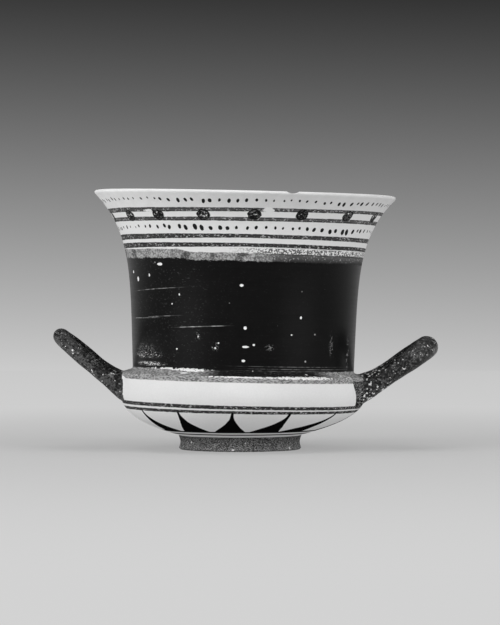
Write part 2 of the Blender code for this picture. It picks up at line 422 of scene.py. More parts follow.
def soften_joins(mesh):
    """Smears the clay where the loops meet the shoulder into a small hollow fillet."""
    form = bmesh.new()
    form.from_mesh(mesh)
    bmesh.ops.triangulate(form, faces=[f for f in form.faces if len(f.verts) > 4])
    for _ in range(2):
        close = near_join(form)
        wide = [e for e in form.edges if e.calc_length() > FILLET_EDGE]
        wide = [e for e in wide if set(e.verts) & close.keys()]
        bmesh.ops.subdivide_edges(form, edges=wide, cuts=1, use_grid_fill=False)
        bmesh.ops.triangulate(form, faces=[f for f in form.faces if len(f.verts) > 4])
    bmesh.ops.dissolve_degenerate(form, dist=NO_LENGTH, edges=form.edges)
    bmesh.ops.triangulate(form, faces=[f for f in form.faces if len(f.verts) > 4])
    close = near_join(form)
    for _ in range(FILLET_ROUNDS):
        moved = {}
        for vertex, far in close.items():
            around = [edge.other_vert(vertex).co for edge in vertex.link_edges]
            mean = sum(around, Vector()) / len(around)
            moved[vertex] = vertex.co.lerp(mean, FILLET_PULL * (1.0 - far / FILLET_REACH))
        for vertex, place in moved.items():
            vertex.co = place
    form.to_mesh(mesh)
    form.free()


def note_wheel_places(mesh):
    """Stores each vertex's wheel coordinates, in millimetres, for the paint to be laid out in."""
    places = []
    for vertex in mesh.vertices:
        places += list(unsettled(vertex.co) / MM)
    mesh.attributes.new("wheel", "FLOAT_VECTOR", "POINT").data.foreach_set("vector", places)


def make_cup():
    outside = foot_outline() + body_outline(0.0)
    lip = lip_outline()
    inside = list(reversed(body_outline(1.0)[::2])) + floor_outline()
    outline = outside + lip + inside
    zones = [UNDERSIDE] * UNDERSIDE_STRIPS + [BOWL] * (FOOT_STEPS + BOWL_STEPS)
    zones += [WALL] * (len(outside + lip) - 1 - len(zones)) + [INSIDE] * len(inside)
    cup = turned("painted_cup", outline, TURN_STEPS, zones)
    mid_wall = body_outline(0.5)
    closed = [point(0.0, mid_wall[0].y)] + mid_wall + [point(0.0, mid_wall[-1].y)]
    core = turned("core_cutter", closed, CORE_STEPS)
    left = handle(
        "left_loop", -1, LEFT_HEIGHT, LEFT_CANT, LEFT_REACH, LEFT_ARM_RADIUS, LEFT_END_RADIUS,
        LEFT_ROOT_GAIN, LEFT_ROOT_LIFT,
    )
    right = handle(
        "right_loop", 1, RIGHT_HEIGHT, RIGHT_CANT, RIGHT_REACH, RIGHT_ARM_RADIUS, RIGHT_END_RADIUS,
        RIGHT_ROOT_GAIN, RIGHT_ROOT_LIFT,
    )
    chip = chip_cutter()
    for loop in (left, right):
        combine(loop, core, "DIFFERENCE")
        combine(cup, loop, "UNION")
    combine(cup, chip, "DIFFERENCE")
    depsgraph = bpy.context.evaluated_depsgraph_get()
    mesh = bpy.data.meshes.new_from_object(cup.evaluated_get(depsgraph))
    cup.modifiers.clear()
    cup.data = mesh
    for helper in (core, left, right, chip):
        bpy.data.objects.remove(helper)
    soften_joins(mesh)
    note_wheel_places(mesh)
    low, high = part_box("cup")
    own = [vertex.co.x for vertex in mesh.vertices]
    shift = (low[0] + high[0]) / 2 - (min(own) + max(own)) / 2
    mesh.transform(Matrix.Translation((shift, 0.0, 0.0)))
    for vertex in mesh.vertices:
        vertex.co = [min(max(value, low[axis]), high[axis]) for axis, value in enumerate(vertex.co)]
    mesh.shade_smooth()
    mesh.set_sharp_from_angle(angle=SHARP_ANGLE)
    return cup, shift


# Paint

def feed(tree, node, fed):
    """Gives a node's inputs, by number or name, a wire, a socket or a plain value."""
    for key, value in fed.items():
        value = getattr(value, "socket", value)
        if isinstance(value, bpy.types.NodeSocket):
            tree.links.new(value, node.inputs[key])
        else:
            node.inputs[key].default_value = value


def new_node(tree, kind, fed, **settings):
    node = tree.nodes.new("ShaderNode" + kind)
    for name, value in settings.items():
        setattr(node, name, value)
    feed(tree, node, fed)
    return node


def joining(operation, swapped=False):
    """What an operator between two wires does: it adds a node of that operation."""
    def join(self, other):
        return self.paint.math(operation, *((other, self) if swapped else (self, other)))
    return join


class Wire:
    """A value in a material's nodes, which plain arithmetic joins to others."""

    def __init__(self, paint, socket):
        self.paint = paint
        self.socket = socket

    __add__ = joining("ADD")
    __radd__ = joining("ADD", swapped=True)
    __sub__ = joining("SUBTRACT")
    __rsub__ = joining("SUBTRACT", swapped=True)
    __mul__ = __and__ = joining("MULTIPLY")
    __rmul__ = joining("MULTIPLY", swapped=True)
    __truediv__ = joining("DIVIDE")
    __pow__ = joining("POWER")
    __or__ = joining("MAXIMUM")


class Paint:
    """One material, built from plain arithmetic on the wheel coordinates."""

    def __init__(self, name):
        self.material = bpy.data.materials.new(name)
        self.material.use_nodes = True
        self.tree = self.material.node_tree
        wheel = new_node(self.tree, "Attribute", {}, attribute_name="wheel")
        self.place = Wire(self, wheel.outputs["Vector"])
        apart = new_node(self.tree, "SeparateXYZ", {0: self.place})
        self.x, self.y, self.height = (Wire(self, apart.outputs[i]) for i in range(3))
        self.bearing = self.math("ARCTAN2", self.x, 0.0 - self.y) * (180.0 / math.pi)
        self.radius = self.math("SQRT", self.x * self.x + self.y * self.y)
        self.side = self.math("SINE", self.bearing * math.radians(1.0))

    def add(self, kind, fed, **settings):
        """Adds a node and gives its first output."""
        return Wire(self, new_node(self.tree, kind, fed, **settings).outputs[0])

    def math(self, operation, *values):
        return self.add("Math", dict(enumerate(values)), operation=operation)

    def smooth(self, value, low, high):
        """0 below low, 1 above high, and an even slope between them."""
        fed = {0: value, 1: low, 2: high, 3: 0.0, 4: 1.0}
        return self.add("MapRange", fed, interpolation_type="SMOOTHSTEP")

    def under(self, value, limit, soft):
        """1 where a value is under a limit, and 0 above it."""
        return 1.0 - self.smooth(value - limit, -soft, soft)

    def band(self, value, low, high, soft):
        return self.under(value, high, soft) & (1.0 - self.under(value, low, soft))

    def flip(self, share):
        """1 where a share is 0 or less, and 0 where it is 1."""
        return self.math("MINIMUM", 1.0 - share, 1.0)

    def mix(self, first, second, share):
        return self.add("Mix", {0: share, 2: first, 3: second}, data_type="FLOAT")

    def patch(self, bearing, height, wide, tall, climb=0.0):
        """How far a place lies from the middle of an oval patch, where 1 is the patch's edge."""
        across = (self.bearing - bearing) * (math.radians(WALL_RADIUS) / wide)
        up = self.height - height
        if climb:
            up = up - across * (climb * wide)
        up = up * (1.0 / tall)
        return self.math("SQRT", self.math("MULTIPLY_ADD", across, across, up * up))

    def stretched(self, across, up):
        """The wheel coordinates made larger across and up the pot, for grain that runs round it."""
        fed = {0: self.place, 1: (across, across, up)}
        return self.add("VectorMath", fed, operation="MULTIPLY")

    def noise(self, scale, detail=2.0, place=None, offset=0.0):
        """Cloudy noise from 0 to 1, with about one swell to each 1 / scale millimetres."""
        fed = {"Vector": place or self.place, "W": offset, "Scale": scale, "Detail": detail}
        return self.add("TexNoise", fed, noise_dimensions="4D")

    def specks(self, cell, size, share, offset=0.0):
        """Small spots, one to a cell in that share of the cells, of a size up to the one given."""
        fed = {"Vector": self.place, "W": offset, "Scale": 1.0 / cell}
        cells = new_node(self.tree, "TexVoronoi", fed, voronoi_dimensions="4D").outputs
        pick = new_node(self.tree, "SeparateXYZ", {0: cells["Color"]}).outputs
        chosen = self.under(Wire(self, pick[0]), share, 0.01)
        reach = Wire(self, pick[1]) * (size / cell)
        return chosen & self.under(Wire(self, cells["Distance"]), reach, 0.03)

    def chance(self, number, offset=0.0):
        """A number from 0 to 1 that is settled by another one."""
        made = new_node(self.tree, "TexWhiteNoise", {}, noise_dimensions="1D")
        feed(self.tree, made, {"W": number * 1.37 + offset})
        return Wire(self, made.outputs[0])

    def around(self, count, phase, back=0.0):
        """Cuts the turn into equal parts: degrees from a part's middle, and the part's number.

        Each part reaches that many degrees further back than its middle would give.
        """
        turn = (self.bearing - phase + back) * (count / 360.0) + 0.5
        number = self.math("FLOOR", turn)
        away = (turn - number - 0.5) * (360.0 / count) - back
        return away, self.math("FLOORED_MODULO", number, float(count))

    def look_up(self, number, values):
        """The value that belongs to a part's number, and 0 where it has none."""
        total = 0.0
        for key, value in values:
            total = self.math("COMPARE", number, float(key), 0.5) * value + total
        return total

    def finish(self, tone, roughness, relief_height, bump, specular):
        """Joins a grey tone, a roughness and a relief in millimetres to the shader."""
        shader = self.tree.nodes["Principled BSDF"]
        grey = self.add("CombineColor", {0: tone, 1: tone, 2: tone})
        fed = {"Base Color": grey, "Roughness": roughness, "Specular IOR Level": specular}
        feed(self.tree, shader, fed)
        relief = self.add("Bump", {"Strength": bump, "Distance": MM, "Height": relief_height})
        feed(self.tree, shader, {"Normal": relief})
        return self.material


# Tones of slip and paint, as the share of light that they give back
SLIP = 0.80
RIM_SLIP = 0.74
CLAY = 0.42
GLOSS = 0.0035
FADED = 0.13
# How much the outside mirrors; the bowl would mirror the floor
WALL_MIRROR = 0.1
BOWL_MIRROR = 0.0

# Places on the pot: bearings in degrees from the front, to the right, and heights and widths in
# wheel millimetres. A patch's width is taken at the wall's radius.
WALL_RADIUS = 54.0
REAR = (147.0, 18.0)  # bearing where what differs from side to side ends, and how softly

# Painted lines: the heights of the lower and the upper edge, how far each edge rises towards the
# right, how far the lower edge sinks at the left and the whole line at the right, and the tone
RIM_LINES = (
    (112.4, 114.2, 0.8, 0.5, 0.0, 0.0, 0.050),
    (107.9, 109.7, 0.5, 0.5, 0.0, 0.0, 0.052),
    (100.0, 101.75, 0.2, 0.5, 1.1, 0.5, 0.030),
    (95.8, 97.5, 0.2, 0.35, 0.9, 0.5, 0.024),
)
BOWL_LINES = ((20.9, 22.5, -0.4, -0.4, 0.0, 0.0, 0.028), (18.8, 20.1, -0.2, -0.2, 0.0, 0.0, 0.028))
# Gaps worn in the rim's upper line: bearing, height, half width, half height
LINE_GAPS = ((9.7, 113.5, 2.0, 1.3), (-43.5, 112.4, 2.2, 0.6))
RIM_SHADE = 113.6
LIP_SLIP_FOOT = 119.6
SPECKLED_TOP = 95.2
SPECKLED_BEARINGS = (-12.0, 14.0)  # from none to all of it, as the others that follow
WASH_TOP = 92.8
WASH_DARKENS = (2.0, 24.0)
WASH_STEP = (24.0, 34.0)  # bearings to the left, where the wash climbs
WASH_STEP_RISE = 1.5
GLOSS_TOP = 89.2
GLOSS_FOOT = 38.5
HAZE = (-64.0, 45.0, 16.0, 9.0)  # bearing, height, half width, half height
LEDGE_DARK_FOOT = (35.6, 36.2)
LEDGE_DARK_LEFT = (-24.0, -10.0)
LEDGE_DARK_RIGHT = (44.0, 8.0)  # bearing where it ends, and how softly
LEDGE_WASH_FOOT = 33.2
LEDGE_STEP = (66.0, 80.0)  # bearings to the left, where the wash climbs
LEDGE_STEP_RISE = 2.2
# Black round a loop: degrees to either side for a millimetre of height, and at its foot
LEFT_GROUND = (0.95, 1.0)
RIGHT_GROUND = (0.6, 23.2)
WORN_FOOT = 33.6
RAY_BASE = 9.8
RAY_TIP = 19.0
BASE_LINES = ((9.1, 9.8, 0.010), (7.8, 8.4, 0.035))
FOOT_PAINT_TOP = 6.8
FOOT_CHIPS_TOP = 1.3
UNDERSIDE_RING = (13.0, 15.5)  # radii

# Rows of dots: how many round the pot, height, first bearing, bearing of the largest, half width
DOT_ROWS = (
    (104, 117.9, -2.8, -17.0, 0.86),
    (92, 104.7, 1.1, -24.0, 1.05),
)
DOT_WAVES = 5
DOT_RIPPLES = 6
BLOTCHES = 17
BLOTCH_PHASE = 4.0
BLOTCH_HEIGHT = 111.0
BLOTCH_SHIFTS = ((14, 2.0), (15, -0.5), (1, -1.0), (2, 1.5), (3, 3.0))  # degrees, by number

# Rays, by number: how far a tip and a foot lie from their even places, in degrees
RAYS = 13
RAY_PHASE = -4.3
TIP_SHIFTS = ((11, 2.6), (1, 0.4), (2, 1.9))
RAY_FOOT_SHIFT = -2.8
RAY_FOOT_SHIFTS = ((11, 4.0), (12, 3.0), (1, -4.0), (2, -12.0))

# Chips in the black that the photograph shows: bearing, height, half width, half height
CHIPS = (
    (-44.5, 87.1, 1.6, 0.65),
    (-70.7, 83.5, 0.6, 0.7),
    (-64.9, 80.1, 0.9, 1.2),
    (-53.3, 82.0, 0.5, 0.75),
    (-33.2, 73.1, 0.4, 0.6),
    (-37.8, 68.7, 0.35, 0.35),
    (-1.0, 77.9, 0.95, 0.6),
    (0.9, 58.3, 0.7, 0.75),
    (1.0, 49.6, 1.6, 0.5),
    (5.2, 50.6, 0.55, 0.5),
    (0.1, 43.2, 0.9, 0.6),
    (29.4, 63.6, 0.55, 0.7),
    (24.5, 55.5, 0.4, 0.35),
    (-22.9, 53.9, 0.35, 0.35),
    (-14.0, 48.7, 0.4, 0.5),
    (-12.3, 51.1, 0.4, 0.35),
    (-35.2, 47.9, 0.45, 0.4),
    (-29.5, 36.9, 1.9, 0.3),
)
# Long scratches in the black: bearing and height of the middle, half length, climb per length,
# and how bare
SCRATCHES = (
    (-62.0, 61.9, 12.0, 0.02, 0.30),
    (-45.0, 62.9, 10.0, 0.05, 0.22),
    (-22.0, 58.5, 12.0, 0.05, 0.50),
    (-52.0, 75.4, 17.0, 0.056, 0.24),
    (22.0, 38.7, 24.0, 0.0, 0.10),
    (34.0, 39.6, 28.0, 0.0, 0.15),
    (30.0, 40.7, 30.0, 0.0, 0.12),
)
# Rubbed places: bearing, height, half width, half height, and the share of the gloss that is gone
RUBBED = (
    (-58.0, 44.8, 11.0, 1.6, 0.46),
    (-60.0, 47.6, 8.0, 2.4, 0.38),
    (-56.0, 40.6, 11.0, 0.9, 0.52),
    (-23.0, 54.6, 1.2, 2.4, 0.39),
    (-14.0, 49.4, 1.6, 1.8, 0.40),
    (13.0, 49.5, 2.0, 1.5, 0.37),
    (50.0, 51.5, 1.3, 5.0, 0.38),
    (67.0, 47.0, 1.6, 8.0, 0.36),
)
# Flakes broken off along the ledge, in the same order
FLAKED = (
    (-36.0, 38.7, 15.0, 0.40, 0.60),
    (-28.0, 38.2, 7.0, 0.40, 0.66),
    (29.0, 35.75, 11.0, 0.55, 0.66),
    (3.0, 35.7, 16.0, 0.30, 0.62),
    (56.0, 36.4, 9.0, 1.4, 0.44),
)


def brushed_line(paint, tone, low, high, low_climb, high_climb, sag, droop, ink, offset):
    """Lays one painted line round the pot, darker at its edges and worn along its middle."""
    wander = (paint.noise(0.05, 1.0, offset=offset) - 0.5) * 0.4
    frayed = (paint.noise(1.0, 3.0, paint.stretched(0.5, 1.2), offset) - 0.5) * 0.45
    lower = paint.side * low_climb + low - paint.math("MAXIMUM", 0.0 - paint.side, 0.0) * sag
    upper = paint.side * high_climb + high
    level = paint.height + wander + paint.math("MAXIMUM", paint.side, 0.0) * droop
    share = (level - lower) / (upper - lower)
    below = paint.under(level + frayed - upper, 0.0, 0.12)
    cover = below & paint.under(lower - level - frayed, 0.0, 0.12)
    edge = paint.math("ABSOLUTE", share * 2.0 - 1.0)
    streaks = paint.noise(0.7, 4.0, paint.stretched(0.16, 1.8), offset + 3.0)
    fleck = paint.noise(1.5, 4.0, paint.stretched(0.7, 1.0), offset + 5.0)
    worn = paint.smooth(fleck, 0.54, 0.62) & paint.under(edge, 0.8, 0.25)
    laid = paint.mix(ink * 1.6, ink * 0.25, paint.smooth(edge, 0.3, 0.9)) * (streaks * 2.0)
    laid = paint.mix(laid, SLIP * 0.6, worn * 0.8)
    return paint.mix(tone, laid, cover)


def dot_row(paint, count, height, phase, largest, half_width):
    """A row of dots in waves that swell and dwindle, each a touch of a loaded brush."""
    away, number = paint.around(count, phase)
    swell = paint.math("COSINE", (paint.bearing - largest) * (math.radians(1.0) * DOT_WAVES)) * 0.2
    size = half_width * (0.72 + swell + (paint.chance(number) - 0.5) * 0.34)
    shifted = away + (paint.chance(number, 11.0) - 0.5) * (150.0 / count)
    across = shifted * paint.radius * math.radians(1.0)
    wave = paint.math("SINE", paint.bearing * math.radians(DOT_RIPPLES)) * 0.35
    up = paint.height - height - wave - (paint.chance(number, 23.0) - 0.5) * 0.8
    tall = 1.0 + paint.chance(number, 37.0) * 0.4
    across = across + up * (paint.chance(number, 41.0) - 0.5) * 0.5
    wobble = (paint.noise(1.6, 1.0) - 0.5) * 0.35
    far = paint.math("SQRT", across * across + (up / tall) * (up / tall)) + wobble
    return paint.under(far - size, 0.0, 0.08)


def blotch_row(paint):
    """The large blotches between the rim's two lines: dark rings round mottled middles."""
    away, number = paint.around(BLOTCHES, BLOTCH_PHASE, 4.0)
    across = (away - paint.look_up(number, BLOTCH_SHIFTS)) * paint.radius * math.radians(1.0)
    up = paint.height - BLOTCH_HEIGHT - paint.side * 1.0 - (paint.chance(number, 7.0) - 0.5) * 0.4
    across = across / (3.0 + paint.chance(number, 9.0) * 0.5)
    up = up / 2.55
    ragged = (paint.noise(0.55, 2.0, offset=8.0) - 0.5) * 0.6
    far = paint.math("SQRT", across * across + up * up) + ragged
    fleck = paint.noise(1.2, 3.0, paint.stretched(0.8, 0.9), 17.0)
    worn = paint.under(far, 0.8, 0.1) & paint.smooth(fleck, 0.5, 0.56)
    bright = paint.under(far, 0.62, 0.12) & paint.smooth(fleck, 0.6, 0.64)
    return paint.under(far, 1.0, 0.05), worn, bright


def rays(paint):
    """Black rays that rise from the foot, with hollow sides and thin tips that lean together."""
    climb = (paint.height - RAY_BASE) * (1.0 / (RAY_TIP - RAY_BASE))
    left = paint.math("MAXIMUM", 1.0 - climb, 0.0)
    half = 0.9 * left + 9.0 * left**2.5 + 0.62
    wobble = (paint.noise(0.25, 2.0) - 0.5) * 1.0
    inside = 0.0
    for back in (0.0, 13.0):
        away, number = paint.around(RAYS, RAY_PHASE, back)
        foot = paint.look_up(number, RAY_FOOT_SHIFTS) + RAY_FOOT_SHIFT
        middle = paint.look_up(number, TIP_SHIFTS) + foot * left * left
        ray = paint.under(paint.math("ABSOLUTE", away - middle + wobble) - half, 0.0, 0.2)
        inside = ray | inside
    return inside & paint.band(paint.height, RAY_BASE - 0.4, RAY_TIP + 0.3, 0.2)


def handle_ground(paint):
    """The black ground round the loops' roots, wider upwards and at the right."""
    left = paint.math("ABSOLUTE", paint.bearing + 90.0)
    right = paint.math("ABSOLUTE", paint.bearing - 90.0)
    rise = paint.height - BOWL_LINES[0][1]
    ragged = (paint.noise(0.35, 2.0) - 0.5) * 1.2
    by_left = paint.under(left - rise * LEFT_GROUND[0] - LEFT_GROUND[1] + ragged, 0.0, 0.2)
    by_right = paint.under(right - rise * RIGHT_GROUND[0] - RIGHT_GROUND[1] + ragged, 0.0, 0.2)
    near = by_left | by_right
    return near & paint.band(paint.height, BOWL_LINES[0][0], LEDGE_WASH_FOOT + 1.0, 0.2)


def fine_cracks(paint, fineness, offset):
    """A net of hair lines, where a noise passes its middle value."""
    wave = paint.noise(fineness, 3.0, offset=offset)
    return paint.under(paint.math("ABSOLUTE", wave - 0.5), 0.012, 0.008)


def wear(paint):
    """Chips, scratches and rubbed places that lay the pale clay bare."""
    ragged = (paint.noise(1.2, 2.0, offset=71.0) - 0.5) * 0.8
    bare = paint.specks(2.2, 0.5, 0.12, 72.0) * 0.5
    for chip in CHIPS:
        bare = bare | paint.under(paint.patch(*chip) + ragged, 1.0, 0.1)
    for bearing, height, half, climb, share in SCRATCHES:
        thin = paint.under(paint.patch(bearing, height, half, 0.17, climb), 1.0, 0.45)
        broken = paint.smooth(paint.noise(0.8, 4.0, paint.stretched(0.4, 0.4), height), 0.42, 0.6)
        bare = bare | (thin & (broken + 0.25)) * share
    net = fine_cracks(paint, 0.5, 73.0) * 0.3
    for bearing, height, wide, tall, share in RUBBED:
        near = paint.under(paint.patch(bearing, height, wide, tall) + ragged * 0.9, 0.9, 0.5)
        fleck = paint.noise(1.7, 4.0, paint.stretched(0.5, 1.2), bearing)
        bare = bare | (near & (net | paint.smooth(fleck, 1.02 - share, 1.06 - share) * 0.85))
    for bearing, height, wide, tall, share in FLAKED:
        near = paint.patch(bearing, height, wide, tall)
        fleck = paint.noise(0.9, 4.0, paint.stretched(0.7, 1.3), bearing)
        bare = bare | paint.smooth(fleck - 0.12 * near * near + share, 0.96, 1.02)
    return bare


def painted_outside():
    """The outside's paint, from the foot to the lip."""
    paint = Paint("painted_wall")
    level = paint.height
    seen = paint.under(paint.math("ABSOLUTE", paint.bearing), *REAR)  # 0 at the back
    to_right = paint.smooth(paint.bearing, *WASH_DARKENS) & seen

    # Pale slip, greyer along the rim, with fine grime, and painted shade that darkens the rim and
    # the upper slip towards the right
    cloud = paint.noise(0.06, 3.0)
    grain = paint.noise(1.4, 4.0, offset=2.0)
    slip = paint.mix(SLIP * 0.96, SLIP * 1.03, cloud) * (0.94 + grain * 0.12)
    rim_slip = slip * (RIM_SLIP / SLIP) * (0.9 + paint.noise(0.2, 4.0, offset=4.0) * 0.2)
    # Painted shade: the rim is darker to the right and lighter to the left, and the slip high on
    # the right is darker
    rim_slip = rim_slip * (1.0 - paint.side * 0.1)
    slip = slip * (1.0 - paint.smooth(paint.side, 0.2, 0.9) * paint.smooth(level, 60.0, 90.0) * 0.1)
    grime = paint.specks(3.2, 0.35, 0.16, 5.0) | paint.specks(1.3, 0.16, 0.06, 6.0)
    tone = paint.mix(rim_slip, slip, paint.under(level, RIM_SHADE, 0.4))
    tone = paint.mix(tone, 0.2, grime * 0.6)

    # Dots, lines and blotches on the flaring rim
    for row in DOT_ROWS:
        tone = paint.mix(tone, GLOSS * 3.0, dot_row(paint, *row))
    for index, line in enumerate(RIM_LINES):
        tone = brushed_line(paint, tone, *line, 10.0 * index)
    crumbled = (paint.noise(0.9, 3.0, offset=12.0) - 0.5) * 1.2
    for gap in LINE_GAPS:
        tone = paint.mix(tone, SLIP, paint.under(paint.patch(*gap) + crumbled, 1.0, 0.1))
    blotch, worn, bright = blotch_row(paint)
    tone = paint.mix(tone, GLOSS * 1.5, blotch)
    tone = paint.mix(tone, SLIP * 0.16, worn * 0.8)
    tone = paint.mix(tone, SLIP, bright)

    # Thin wash above the black wall, higher at the left, with speckled slip above it at the right
    lift = (paint.noise(0.035, 2.0, offset=31.0) - 0.5) * 1.2
    frayed = (paint.noise(0.9, 4.0, paint.stretched(0.4, 1.6), 32.0) - 0.5) * 1.2
    rise = (paint.smooth(0.0 - paint.bearing, *WASH_STEP) & seen) * WASH_STEP_RISE
    washed = paint.under(level + lift + frayed - rise, WASH_TOP, 0.15)
    streaks = paint.noise(0.5, 5.0, paint.stretched(0.3, 1.5), 33.0)
    fleck = paint.noise(1.3, 4.0, paint.stretched(0.9, 1.0), 37.0)
    smudge = paint.smooth(paint.noise(0.16, 4.0, paint.stretched(1.0, 0.7), 38.0), 0.5, 0.6)
    depth = paint.smooth(WASH_TOP - level, 0.4, 4.6)
    thin = paint.mix(FADED * 1.3, FADED * 3.2, paint.smooth(fleck, 0.42, 0.6)) * (0.4 + streaks)
    thin = thin * paint.mix(1.25, 0.4, smudge)
    thin = paint.mix(thin, paint.mix(FADED, GLOSS * 3.0, depth) * (0.3 + streaks), to_right)
    pale = paint.smooth(fleck, 0.6, 0.65) & paint.under(depth, 0.7, 0.3)
    thin = paint.mix(thin, SLIP * 0.5, pale)
    tone = paint.mix(tone, thin, washed)
    speckled = paint.band(level, WASH_TOP - 0.1, SPECKLED_TOP, 0.3)
    speckled = speckled & paint.smooth(paint.bearing, *SPECKLED_BEARINGS) & seen
    tone = paint.mix(tone, FADED * 0.9, speckled & paint.under(fleck, 0.5, 0.03))
    dark_edge = paint.band(level + frayed * 0.3, WASH_TOP - 0.5, WASH_TOP, 0.12) & to_right
    tone = paint.mix(tone, GLOSS * 8.0, dark_edge * 0.8)

    # Black wall, with turning lines and a dusty haze low on the left
    edge = (paint.noise(1.1, 4.0, paint.stretched(0.7, 1.2), 34.0) - 0.5) * 2.4
    black = paint.under(level + lift * 0.3 + edge - rise * 0.6, GLOSS_TOP, 0.25)
    turning = paint.noise(0.9, 4.0, paint.stretched(0.05, 1.5), 35.0)
    mottle = paint.noise(0.3, 5.0, offset=36.0)
    haze = paint.under(paint.patch(*HAZE), 1.0, 0.8) * 0.02
    dust = paint.smooth(paint.noise(1.6, 5.0, paint.stretched(0.6, 1.0), 39.0), 0.56, 0.78) * 0.055
    gloss = GLOSS * (0.1 + turning * 0.9 + mottle * 0.6) + haze * mottle
    gloss = gloss + dust * (0.15 + paint.smooth(0.0 - paint.side, 0.0, 0.8))
    tone = paint.mix(tone, gloss, black)

    # Ledge wash, darker over the middle, then the bare slip of the shoulder and bowl
    ledge = paint.under(level + (paint.noise(0.5, 4.0, offset=41.0) - 0.5) * 1.4, GLOSS_FOOT, 0.3)
    brush = paint.noise(1.5, 5.0, paint.stretched(0.5, 1.3), 42.0)
    ledge_tone = paint.mix(FADED * 0.9, FADED * 3.4, paint.smooth(brush, 0.36, 0.62))
    dark = paint.smooth(level + (brush - 0.5) * 2.0, *LEDGE_DARK_FOOT)
    dark = dark & paint.smooth(paint.bearing, *LEDGE_DARK_LEFT)
    dark = dark & paint.under(paint.bearing, *LEDGE_DARK_RIGHT)
    ledge_tone = paint.mix(ledge_tone, GLOSS * 2.0 + paint.smooth(brush, 0.5, 0.75) * 0.06, dark)
    tone = paint.mix(tone, ledge_tone, ledge)
    rise = (paint.smooth(0.0 - paint.bearing, *LEDGE_STEP) & seen) * LEDGE_STEP_RISE
    wavy = level - rise + (paint.noise(0.3, 3.0, offset=43.0) - 0.5) * 0.7
    tone = paint.mix(tone, slip, paint.under(wavy, LEDGE_WASH_FOOT, 0.15))
    ground = handle_ground(paint)
    rubbed = paint.smooth(brush, 0.45, 0.7)
    ground_tone = rubbed * paint.mix(0.06, 0.34, paint.smooth(paint.side, 0.0, 0.5))
    tone = paint.mix(tone, GLOSS * 2.0 + ground_tone, ground)
    for index, line in enumerate(BOWL_LINES):
        tone = brushed_line(paint, tone, *line, 50.0 + 10.0 * index)
    ray = rays(paint)
    tone = paint.mix(tone, GLOSS * (0.7 + mottle * 0.8), ray)
    for low, high, ink in BASE_LINES:
        tone = paint.mix(tone, ink, paint.band(level + (cloud - 0.5) * 0.3, low, high, 0.1))

    # Foot, in worn black that thins towards the ground
    foot = paint.under(level, FOOT_PAINT_TOP, 0.1)
    foot_cloud = paint.smooth(paint.noise(2.2, 5.0, offset=61.0), 0.4, 0.66)
    foot_tone = paint.mix(0.02, 0.24, foot_cloud)
    foot_tone = foot_tone * paint.mix(1.6, 0.75, level * (1.0 / FOOT_PAINT_TOP))
    tone = paint.mix(tone, foot_tone, foot)
    foot_chips = paint.specks(2.2, 1.0, 0.6, 74.0) & paint.under(level, FOOT_CHIPS_TOP, 0.4)
    foot_chips = foot_chips | (paint.specks(2.6, 0.8, 0.4, 75.0) & foot) * 0.6

    # Chips, flakes and scratches in everything black
    bare_clay = wear(paint) & paint.band(level, WORN_FOOT, GLOSS_TOP, 0.3)
    ground_chips = paint.specks(2.1, 0.8, 0.34, 76.0) | paint.smooth(fleck, 0.64, 0.68)
    bare_clay = bare_clay | foot_chips | (ground_chips & ground)
    bare_clay = bare_clay | (paint.specks(2.4, 0.8, 0.3, 77.0) & dark & ledge)
    tone = paint.mix(tone, SLIP * 1.08, bare_clay)

    # Shine and relief: smooth gloss with turning lines, dull slip, and chips that are sunk
    glossy = ((black & paint.flip(ledge)) | ground | ray) & paint.flip(bare_clay)
    roughness = paint.mix(0.62, 0.26 + turning * 0.14, glossy)
    relief = turning * 0.05 * black + grain * 0.04 + cloud * 0.1 - bare_clay * 0.12
    return paint.finish(tone, roughness, relief, 0.5, WALL_MIRROR)


def black_inside():
    paint = Paint("black_inside")
    turning = paint.noise(0.8, 4.0, paint.stretched(0.05, 1.2), 3.0)
    cloud = paint.noise(0.09, 4.0)
    tone = GLOSS * (1.0 + turning * 1.6 + cloud * 2.0)
    flakes = paint.specks(3.4, 0.6, 0.16, 4.0)
    flakes = flakes | (paint.smooth(paint.noise(0.5, 5.0, offset=5.0), 0.66, 0.72) * 0.7)
    wavy = paint.height + (paint.noise(0.3, 3.0) - 0.5) * 0.9
    lip = paint.flip(paint.under(wavy, LIP_SLIP_FOOT, 0.25))
    tone = paint.mix(tone, SLIP * 0.8, flakes | lip)
    roughness = paint.mix(0.3 + turning * 0.15, 0.62, flakes | lip)
    return paint.finish(tone, roughness, turning * 0.05 + cloud * 0.1 - flakes * 0.1, 0.5, 0.3)


